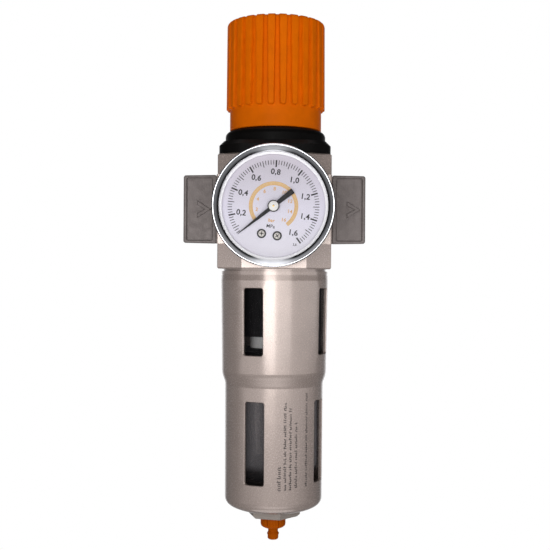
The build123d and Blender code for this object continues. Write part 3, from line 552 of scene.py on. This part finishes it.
# ============================================================================ dial
DIAL_TILT = 8.0             # the dial is turned clockwise by this angle
INK = 0.03                  # how far the printing stands off the dial
FIRST_MARK = 53.7           # 0.06 MPa, degrees clockwise from straight down
FIRST_COUNT = 3             # that is three steps above zero
MARK_STEP = 3.507           # 0.02 MPa
MARKS = 78
MARK_R = 20.85
BOLD_MARK, LONG_MARK, SHORT_MARK = (3.1, 0.7), (2.9, 0.34), (2.0, 0.31)     # length and width
BAND_START, BAND_END, BAND_STEPS = 52.0, 323.7, 90      # the bar scale's band, degrees
BAND_INNER, BAND_OUTER = 9.5, 11.2
BAND_LINE = 0.22            # width of the thin circles along the band's edges
TICK_INNER, TICK_SHORT, TICK_LONG = 9.72, 10.4, 10.9
TICK_HALF = math.degrees(0.09 / 10.3)       # half a tick's width, as an angle


def scale_marks():
    """The scale's 0.02 MPa marks, longer at each 0.1 and bold at each 0.2."""
    points, faces = [], []
    for i in range(MARKS):
        count = i + FIRST_COUNT
        length, width = SHORT_MARK
        if count % 5 == 0:
            length, width = BOLD_MARK if count % 10 == 0 else LONG_MARK
        outline = [(MARK_R, width / 2), (MARK_R - length, width / 2),
                   (MARK_R - length, -width / 2), (MARK_R, -width / 2)]
        across = pointing(FIRST_MARK + MARK_STEP * i, outline)
        add_prism(points, faces, across, DIAL_FRONT, DIAL_FRONT - INK)
    return mesh_piece("scale_marks", points, faces)


def add_band(points, faces, inner, outer, back, front):
    """Adds a closed curved strip along the bar scale, between two radii and two y values."""
    first = len(points)
    for i in range(BAND_STEPS + 1):
        turned = BAND_START + (BAND_END - BAND_START) * i / BAND_STEPS
        near, far = clock(turned, inner), clock(turned, outer)
        corners = (near, back), (far, back), (far, front), (near, front)
        points.extend((x, y, z) for (x, z), y in corners)
    for i in range(BAND_STEPS):
        here = first + 4 * i
        faces.extend((here + k, here + (k + 1) % 4, here + 4 + (k + 1) % 4, here + 4 + k)
                     for k in range(4))
    last = first + 4 * BAND_STEPS
    faces.append(tuple(range(first, first + 4)))
    faces.append(tuple(range(last, last + 4)))


def bar_band():
    """The orange band of the bar scale."""
    points, faces = [], []
    add_band(points, faces, BAND_INNER, BAND_OUTER, DIAL_FRONT, DIAL_FRONT - INK)
    return mesh_piece("bar_scale_band", points, faces)


def bar_ticks():
    """The bar scale's two thin circles, with a short tick across the band at every 0.2 bar."""
    points, faces = [], []
    back, front = DIAL_FRONT - INK, DIAL_FRONT - 1.6 * INK
    add_band(points, faces, BAND_INNER, BAND_INNER + BAND_LINE, back, front)
    add_band(points, faces, BAND_OUTER - BAND_LINE, BAND_OUTER, back, front)
    for i in range(MARKS):
        turned = FIRST_MARK + MARK_STEP * i
        reach = TICK_LONG if (i + FIRST_COUNT) % 5 == 0 else TICK_SHORT
        outline = [clock(turned - TICK_HALF, TICK_INNER), clock(turned - TICK_HALF, reach),
                   clock(turned + TICK_HALF, reach), clock(turned + TICK_HALF, TICK_INNER)]
        add_prism(points, faces, outline, back, front)
    return mesh_piece("bar_scale_ticks", points, faces)


CAPITAL = 0.72              # height of a capital letter over the font's size


def lettering(name, words, material, slot, bold=0.035):
    """Numbers and units on the dial, upright on the tilted dial, made as one thin mesh.

    words are (text, angle, radius, capital height).
    """
    tilt = Matrix.Rotation(math.radians(DIAL_TILT), 4, "Y")
    upright = tilt @ Matrix.Rotation(math.pi / 2, 4, "X")
    work = bmesh.new()
    for text, angle, radius, height in words:
        font = bpy.data.curves.new("lettering", "FONT")
        font.body = text
        font.size = height * MM / CAPITAL
        font.align_x, font.align_y = "CENTER", "CENTER"
        font.extrude = INK / 2 * MM
        font.resolution_u = 6
        font.offset = bold * height * MM
        font.space_character = 1.06
        holder = bpy.data.objects.new("lettering", font)
        scene.collection.objects.link(holder)
        bpy.context.view_layer.update()
        solid = holder.evaluated_get(bpy.context.evaluated_depsgraph_get())
        flat = bpy.data.meshes.new_from_object(solid)
        x, z = clock(angle, radius)
        flat.transform(Matrix.Translation(Vector((x, DIAL_FRONT - INK / 2, z)) * MM) @ upright)
        work.from_mesh(flat)
        bpy.data.objects.remove(holder)
    mesh = bpy.data.meshes.new(name)
    work.to_mesh(mesh)
    work.free()
    piece = bpy.data.objects.new(name, mesh)
    scene.collection.objects.link(piece)
    return dress(piece, "housing", material, slot)


MAJOR_FIRST, MAJOR_STEP = 78.2, 35.07       # 0.2 MPa and each 0.2 MPa after it
MAJORS = [MAJOR_FIRST + MAJOR_STEP * i for i in range(8)]
MPA_NUMBER_R = 15.0
TOP_NUMBER, TOP_NUMBER_R = 3, 15.5          # the number at the top stands a little further out
BAR_NUMBER_R = 7.8
mpa_words = [(f"{0.2 * (i + 1):.1f}".replace(".", ","), angle,
              TOP_NUMBER_R if i == TOP_NUMBER else MPA_NUMBER_R, 2.5)
             for i, angle in enumerate(MAJORS)]
bar_words = [(str(2 * (i + 1)), angle, BAR_NUMBER_R, 1.6) for i, angle in enumerate(MAJORS)]
dress(scale_marks(), "housing", DIAL_BLACK, "pointer_black")
dress(bar_band(), "housing", DIAL_PALE_ORANGE, "orange_plastic")
dress(bar_ticks(), "housing", DIAL_ORANGE, "orange_plastic")
lettering("mpa_numbers", mpa_words + [("2,5", -29.0, 20.0, 1.0)], DIAL_BLACK, "pointer_black")
lettering("bar_numbers", bar_words + [("bar", DIAL_TILT, 6.6, 1.5)], DIAL_ORANGE, "orange_plastic")
lettering("mpa_unit", [("MPa", DIAL_TILT, 9.3, 1.6)], DIAL_BLACK, "pointer_black", bold=0.01)


DIAL_SCREW_R, DIAL_SCREW_TURN = 13.6, 15.3  # radius of the two screws, angle to either side
CROSS_TURNS = (35, 80)                      # how far each screw's cross is turned


def moved(piece, x, z):
    """Moves a new piece's mesh to a place on the dial."""
    piece.data.transform(Matrix.Translation(Vector((x, 0, z)) * MM))
    return piece


def screw_head(name, front):
    """A domed screw head on the dial, facing the front."""
    radius, dome = 1.4, 0.25
    bends = [math.radians(15 * i) for i in range(6)]
    outline = [(0, DIAL_FRONT), (radius, DIAL_FRONT)]
    outline += [(radius * math.cos(a), front + dome * (1 - math.sin(a))) for a in bends]
    return lathe(name, outline + [(0, front)], 64, "Y")


def painted_shade_cross(name, front, turned):
    """A dark cross standing on the screw head: painted shade in place of the hollow cross recess.
    """
    reach, half = 0.95, 0.19
    quarter = [(reach, -half), (reach, half), (half, half)]
    outline = []
    for k in range(4):
        a = math.radians(turned + 90 * k)
        outline += [(x * math.cos(a) - z * math.sin(a), x * math.sin(a) + z * math.cos(a))
                    for x, z in quarter]
    points, faces = [], []
    add_prism(points, faces, outline, front + 0.12, front - 0.02)
    return mesh_piece(name, points, faces)


def screw_ring(name):
    """The black ring round a screw head."""
    outline = [(1.43, DIAL_FRONT), (2.1, DIAL_FRONT), (2.1, DIAL_FRONT - 0.25),
               (1.95, DIAL_FRONT - 0.35), (1.43, DIAL_FRONT - 0.35)]
    return lathe(name, outline, 64, "Y")


screw_front = edges_of("dial_screws")[0].y
for number, side in ((1, -1), (2, 1)):
    x, z = clock(DIAL_TILT + side * DIAL_SCREW_TURN, DIAL_SCREW_R)
    stands_for = ["dial_screws"] if number == 1 else []
    head = moved(screw_head(f"dial_screw_head_{number}", screw_front), x, z)
    dress(head, "housing", FINISH["hub_white"], "hub_white", *stands_for)
    # painted shade: a dark cross where the screw's recess would lie in shadow
    cross = painted_shade_cross(f"dial_screw_shade_cross_{number}", screw_front, CROSS_TURNS[number - 1])
    dress(moved(cross, x, z), "housing", PRINT_GREY, "pointer_black")
    ring = moved(screw_ring(f"dial_screw_ring_{number}"), x, z)
    dress(ring, "housing", FINISH["case_black"], "case_black")

# ============================================================================ pointer
POINTER_REST = 51.7         # degrees clockwise from straight down
BLADE_FRONT = edges_of("pointer")[0].y
HUB_FRONT = edges_of("pointer_hub")[0].y
# distance along the pointer and half width, from the tip to the tail
BLADE = [(20.6, 0.1), (17.0, 0.3), (4.0, 0.85), (-4.0, 1.0), (-8.0, 1.15), (-11.0, 1.28),
         (-11.2, 1.1)]


def pointer_blade():
    """The pointer: a tapered blade with a broad tail, its edges softened."""
    low, high = edges_of("pointer")
    outline = BLADE + [(r, -w) for r, w in reversed(BLADE)]
    points, faces = [], []
    add_prism(points, faces, pointing(POINTER_REST, outline), high.y, low.y)
    blade = mesh_piece("pointer_blade", points, faces)
    soft = blade.modifiers.new("soft_edge", "BEVEL")
    soft.width, soft.segments, soft.limit_method = 0.09 * MM, 2, "ANGLE"
    return blade


def pointer_collar():
    """The black collar in the middle of the pointer."""
    back, front = BLADE_FRONT + 0.4, BLADE_FRONT - 0.08
    outline = [(0, back), (2.7, back), (2.7, BLADE_FRONT), (2.62, front), (0, front)]
    return lathe("pointer_collar", outline, 96, "Y")


def pointer_cap():
    """The white cap on the collar."""
    back = BLADE_FRONT - 0.06
    outline = [(0, back), (2.25, back), (2.25, HUB_FRONT + 0.14), (2.1, HUB_FRONT + 0.04),
               (1.6, HUB_FRONT), (0, HUB_FRONT)]
    return lathe("pointer_cap", outline, 96, "Y")


def pointer_pin():
    """The end of the arbor, in the middle of the cap."""
    back, front = HUB_FRONT + 0.1, HUB_FRONT - 0.06
    outline = [(0, back), (0.5, back), (0.5, HUB_FRONT - 0.02), (0.42, front), (0, front)]
    return lathe("pointer_pin", outline, 48, "Y")


dress(pointer_blade(), "pointer", FINISH["pointer_black"], "pointer_black", "pointer")
dress(pointer_collar(), "pointer", FINISH["pointer_black"], "pointer_black")
dress(pointer_cap(), "pointer", HUB_ENAMEL, "hub_white", "pointer_hub")
dress(pointer_pin(), "pointer", FINISH["brass"], "brass")


# ============================================================================ pipe threads
def pipe_thread(name, mouth, inward, turns=6.4):
    """The internal G 1/2 thread: one rounded V ridge wound round the port's bore."""
    pitch, root, crest, flat = 1.814, 10.53, 9.35, 0.2
    per_turn, runout = 72, 14           # steps in a turn, and over which each end fades out
    section = [(root, -pitch * 0.44), (crest + 0.12, -flat), (crest, -flat * 0.4),
               (crest, flat * 0.4), (crest + 0.12, flat), (root, pitch * 0.44)]
    points, faces = [], []
    total = int(turns * per_turn)
    for k in range(total + 1):
        a = 2 * math.pi * k / per_turn
        fade = min(1, k / runout, (total - k) / runout)
        along = mouth + inward * (0.95 + pitch * k / per_turn)
        for radius, shift in section:
            r = root - (root - radius) * max(fade, 0.03)
            x = along + inward * shift * max(fade, 0.1)
            points.append((x, r * math.cos(a), r * math.sin(a)))
    count = len(section)
    for k in range(total):
        for i in range(count):
            j = (i + 1) % count
            here = k * count
            faces.append((here + i, here + j, here + count + j, here + count + i))
    faces.append(tuple(range(count)))
    faces.append(tuple(range(total * count, total * count + count)))
    return mesh_piece(name, points, faces, sharp=50)


for side, node in ((-1, "inlet_plate"), (1, "outlet_plate")):
    low, high = edges_of(node)
    mouth = high.x if side > 0 else low.x
    thread = pipe_thread(node.replace("plate", "thread"), mouth, -side)
    dress(thread, "housing", FINISH["plate_metal"], "plate_metal")

# ============================================================================ drain knob
LOBE_TURN, FLUTE_TURN = 60, 15      # degrees from one lobe or flute to the next
GROOVE_DEPTH, FLUTE_DEPTH = 0.75, 0.16
GROOVE_SHARE = 0.2                  # how much of a lobe the groove beside it takes
FLUTED_TOP = -152.3                 # the flutes and grooves start under this height


def drain_grip():
    """The drain knob: a grip with six broad lobes, finely fluted, over a barbed hose end."""
    low, high = edges_of("drain_knob")
    grip_r = high.x
    outline = [(1.08, high.z), (5.2, high.z), (5.2, -152.4), (grip_r - 0.35, -152.4),
               (grip_r, -152.75), (grip_r, -156.0), (grip_r - 0.12, -156.6), (5.95, -157.15),
               (5.3, -157.7), (4.2, -158.2), (2.9, -158.6), (2.5, -159.0), (2.45, -160.0),
               (2.65, -160.5), (2.98, -161.0), (2.95, -161.5), (2.7, -162.1), (2.7, -163.3),
               (2.5, -163.8), (2.1, low.z), (1.25, low.z), (1.25, -156.5), (1.08, -156.5)]
    steps = 360                         # one for each degree
    points = []
    for radius, z in outline:
        share = min(max((radius - 3.4) / 1.6, 0), 1) if z < FLUTED_TOP else 0
        for i in range(steps):
            a = 2 * math.pi * i / steps
            lobe = abs((i + LOBE_TURN / 2) % LOBE_TURN - LOBE_TURN / 2) / (LOBE_TURN / 2)
            sunk = max(0.0, 1 - lobe / GROOVE_SHARE)    # lobe is 0 in the groove between two
            groove = sunk ** 2 * (3 - 2 * sunk)
            flute = max(0.0, math.cos(2 * math.pi * i / FLUTE_TURN)) ** 6
            r = radius - share * (GROOVE_DEPTH * groove + FLUTE_DEPTH * flute)
            points.append((r * math.cos(a), r * math.sin(a), z))
    return mesh_piece("drain_grip", points, wrapped_faces(len(outline), steps), sharp=50)


dress(drain_grip(), "drain_knob", DRAIN_ORANGE, "orange_plastic", "drain_knob")

# ============================================================================ guard's printing
GUARD_PRINT = (             # direction on the guard, lower and upper end, height of the strokes
    (6.8, -134.9, -123.5, 1.9),
    (13.7, -134.7, -93.2, 1.35),
    (19.9, -134.7, -95.2, 1.35),
    (26.9, -133.8, -102.7, 1.35),
    (41.0, -133.7, -88.2, 1.35),
)
STEM_W, FOOT_W = 0.42, 0.38         # width of an upright stroke and of the foot beside it
LETTER_PITCH, WORD_GAP = 1.0, 0.75
BARREL_TOP, BARREL_LENGTH = -86.0, 56.0
BARREL_R, BARREL_NARROWS = 24.5, 0.2        # radius at its top, and how much less it is below


def guard_radius(z):
    """Outer radius of the guard's lower barrel."""
    return BARREL_R - BARREL_NARROWS * (BARREL_TOP - z) / BARREL_LENGTH


def guard_print():
    """A block of plain strokes that say nothing, in five rows on the guard."""
    draw = random.Random(7)
    points, faces = [], []

    def stroke(direction, low, high, tall, shift):
        first = len(points)
        for z in (low, high):
            for turned in (-tall / 2 + shift, tall / 2 + shift):
                for lift in (-0.02, 0.02):
                    radius = guard_radius(z) + lift
                    a = math.radians(direction - 90) + turned / radius
                    points.append((radius * math.cos(a), radius * math.sin(a), z))
        quads = [(0, 1, 3, 2), (4, 6, 7, 5), (0, 4, 5, 1), (2, 3, 7, 6), (0, 2, 6, 4), (1, 5, 7, 3)]
        faces.extend(tuple(first + k for k in quad) for quad in quads)

    for direction, low, high, tall in GUARD_PRINT:
        z = low
        while z < high:
            letters = draw.randint(3, 9)
            for _ in range(letters):
                if z > high:
                    break
                size = tall * draw.choice((0.62, 0.62, 0.7, 1.0))
                stem_end = z + STEM_W
                stroke(direction, z, stem_end, size, (tall - size) / 2)
                if draw.random() < 0.75:
                    aside = draw.choice((-0.2, 0.1, 0.4)) * tall
                    stroke(direction, stem_end, stem_end + FOOT_W, 0.4, aside)
                z += LETTER_PITCH
            z += WORD_GAP
    return mesh_piece("guard_print", points, faces)


dress(guard_print(), "guard", PRINT_GREY, "pointer_black")

# ============================================================================ stage, light, camera
FLOOR_DROP = 450.0          # the unit hangs in its pipework, well above the floor
FLOOR_R, FLOOR_STEPS = 230.0, 96


def studio_floor():
    """A plain pale round floor."""
    z = cad_low.z / MM - FLOOR_DROP
    turns = [2 * math.pi * i / FLOOR_STEPS for i in range(FLOOR_STEPS)]
    rim = [(FLOOR_R * math.cos(a), FLOOR_R * math.sin(a), z) for a in turns]
    mesh = bpy.data.meshes.new("floor")
    mesh.from_pydata([Vector(p) * MM for p in rim], [], [tuple(range(FLOOR_STEPS))])
    floor = bpy.data.objects.new("floor", mesh)
    scene.collection.objects.link(floor)
    shade = Shade("pale_floor", Roughness=0.9, Base_Color=(0.93, 0.93, 0.93, 1),
                  Emission_Strength=0.75, Emission_Color=(1, 1, 1, 1))
    floor.data.materials.append(shade.material)
    floor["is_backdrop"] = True


def studio_world():
    """White for the camera, and two rooms for light and reflections.

    Rough surfaces see a bright table in front of the object and a bright ceiling. Mirror-smooth
    ones see a dark room, paler round the lens, overhead and straight below.
    """
    world = bpy.data.worlds.new("studio")
    world.use_nodes = True
    scene.world = world
    nodes, links = world.node_tree.nodes, world.node_tree.links
    nodes.clear()
    place = nodes.new("ShaderNodeTexCoord")
    parts = nodes.new("ShaderNodeSeparateXYZ")
    links.new(place.outputs["Generated"], parts.inputs["Vector"])

    def math_node(operation, first, second=None):
        node = nodes.new("ShaderNodeMath")
        node.operation = operation
        for socket, value in zip(node.inputs, (first, second)):
            if isinstance(value, (int, float)):
                socket.default_value = value
            elif value is not None:
                links.new(value, socket)
        return node.outputs[0]

    def plus(first, *more):
        for second in more:
            first = math_node("ADD", first, second)
        return first

    def times(first, *more):
        for second in more:
            first = math_node("MULTIPLY", first, second)
        return first

    def eased(value, low, high, start, end):
        node = nodes.new("ShaderNodeMapRange")
        node.interpolation_type = "SMOOTHSTEP"
        links.new(value, node.inputs["Value"])
        ends = {"From Min": low, "From Max": high, "To Min": start, "To Max": end}
        for name, number in ends.items():
            node.inputs[name].default_value = number
        return node.outputs["Result"]

    across, ahead, up = (parts.outputs[axis] for axis in "XYZ")
    toward = math_node("MAXIMUM", times(ahead, -1), 0.0)
    # below the horizon: a bright table in front, fading towards its near end
    front = eased(math_node("SUBTRACT", times(across, 0.22), ahead), -0.11, 0.03, 0.0, 1.0)
    near = eased(up, -0.30, -0.05, 0.1, 1.0)
    wide = eased(up, -0.13, -0.05, 0.0, 1.0)
    narrow = math_node("POWER", toward, 0.7)
    spread = plus(times(wide, front), times(math_node("SUBTRACT", 1.0, wide), narrow))
    table = plus(times(near, spread, 1.5), eased(up, -0.22, -0.02, 0.11, 0.24))
    # the part of the table right under the lens, seen only steeply
    apron = times(math_node("POWER", toward, 3.0), eased(up, -0.60, -0.30, 2.6, 0.0))
    table = plus(table, apron, 0.05)
    # above it: a dim room with a bright ceiling
    below = times(table, eased(up, 0.015, 0.075, 1.0, 0.0))
    above = times(eased(up, 0.86, 0.95, 0.06, 1.3), eased(up, 0.015, 0.075, 0.0, 1.0))
    blurred = plus(below, above)
    # what a mirror-smooth surface sees
    lens_glow = times(eased(toward, 0.30, 1.0, 0.0, 0.36), eased(up, 0.2, 0.85, 1.0, 3.2))
    ends = plus(eased(up, -0.85, -0.60, 0.45, 0.0), eased(up, 0.60, 0.85, 0.0, 0.9))
    middle = eased(math_node("ABSOLUTE", across), 0.08, 0.38, 1.0, 0.0)
    mirrored = plus(lens_glow, times(ends, middle), 0.012)
    path = nodes.new("ShaderNodeLightPath")
    singular = path.outputs["Is Singular Ray"]
    strength = plus(times(math_node("SUBTRACT", 1.0, singular), blurred), times(singular, mirrored))
    # a pale wall straight behind the object, for both
    backdrop = times(eased(ahead, 0.80, 0.97, 0.0, 0.9), eased(up, 0.35, 0.5, 1.0, 0.0))
    strength = plus(strength, backdrop)

    camera = nodes.new("ShaderNodeBackground")
    camera.inputs["Color"].default_value = (1, 1, 1, 1)
    room = nodes.new("ShaderNodeBackground")
    room.inputs["Color"].default_value = (0.98, 0.98, 1.0, 1)
    links.new(strength, room.inputs["Strength"])
    mix = nodes.new("ShaderNodeMixShader")
    links.new(path.outputs["Is Camera Ray"], mix.inputs["Fac"])
    links.new(room.outputs["Background"], mix.inputs[1])
    links.new(camera.outputs["Background"], mix.inputs[2])
    out = nodes.new("ShaderNodeOutputWorld")
    links.new(mix.outputs["Shader"], out.inputs["Surface"])


def area_light(name, at, size, power, aim):
    """A soft rectangular lamp, with places and sizes in millimetres."""
    lamp = bpy.data.lights.new(name, "AREA")
    lamp.shape = "RECTANGLE"
    lamp.size, lamp.size_y = size[0] * MM, size[1] * MM
    lamp.energy = power
    holder = bpy.data.objects.new(name, lamp)
    holder.location = Vector(at) * MM
    holder.rotation_euler = (Vector(aim) - Vector(at)).to_track_quat("-Z", "Y").to_euler()
    holder.visible_camera = False
    scene.collection.objects.link(holder)


studio_floor()
studio_world()
area_light("key", (-83, -560, -26), (236, 222), 0.90, aim=(-83, 0, -26))
area_light("fill", (225, -560, -26), (380, 222), 0.46, aim=(225, 0, -26))

CAMERA_AT = (7.0, -505.0, -30.4)
CAMERA_LENS = 65.7
CAMERA_DIP, CAMERA_YAW, CAMERA_ROLL = 0.11, 0.772, 0.36         # degrees
camera_data = bpy.data.cameras.new("camera")
camera_data.lens = CAMERA_LENS
camera_data.sensor_width = 36.0
camera = bpy.data.objects.new("camera", camera_data)
camera.location = Vector(CAMERA_AT) * MM
aimed = Euler((math.radians(90 - CAMERA_DIP), 0, math.radians(CAMERA_YAW))).to_matrix()
camera.rotation_euler = (aimed @ Matrix.Rotation(math.radians(CAMERA_ROLL), 3, "Z")).to_euler()
camera_data.clip_start = 0.01
scene.collection.objects.link(camera)
scene.camera = camera
scene.view_settings.view_transform = "Standard"

low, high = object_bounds()
